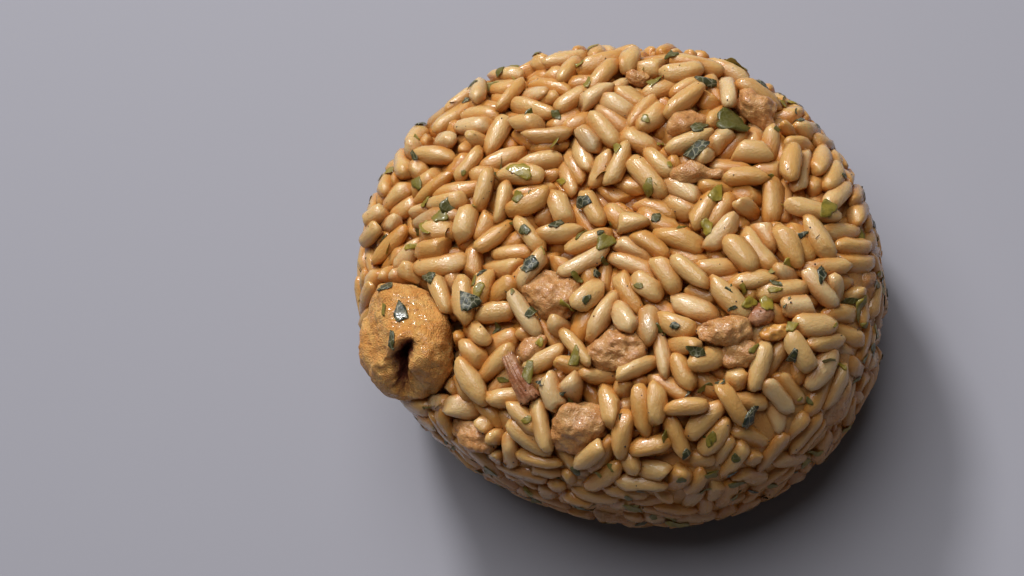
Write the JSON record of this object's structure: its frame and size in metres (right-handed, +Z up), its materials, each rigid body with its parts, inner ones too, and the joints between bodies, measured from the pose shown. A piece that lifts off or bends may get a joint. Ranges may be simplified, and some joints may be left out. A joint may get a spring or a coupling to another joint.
{
  "type": "onigiri rice ball",
  "caption": "Round flattened ball of soy-seasoned rice with a folded piece of fried chicken and lumps of minced chicken pressed into its top.",
  "frame": {"origin": "middle of the flat foot that the ball rests on", "axes": "+Z up out of the flat foot, +X along the ball's longest side, +Y across it"},
  "size_m": [0.0746, 0.0662, 0.0362],
  "materials": {
    "seasoned_rice": "cooked short-grain rice stained with soy sauce, moist and softly glossy",
    "fried_crust": "thin browned crust, moist in its folds",
    "minced_chicken": "cooked mince in soy sauce, softly moist",
    "leaf_flakes": "soaked leaf flakes, dark green to olive",
    "egg_crumb": "one small crumb of yellow egg"
  },
  "bodies": {
    "root": {"rice_ball": "seasoned_rice", "fried_chicken": "fried_crust", "minced_lump_back": "minced_chicken", "minced_lump_centre": "minced_chicken", "minced_lump_edge": "minced_chicken", "minced_lump_front": "minced_chicken", "minced_lump_near": "minced_chicken", "minced_lump_side": "minced_chicken"}
  },
  "joints": []
}
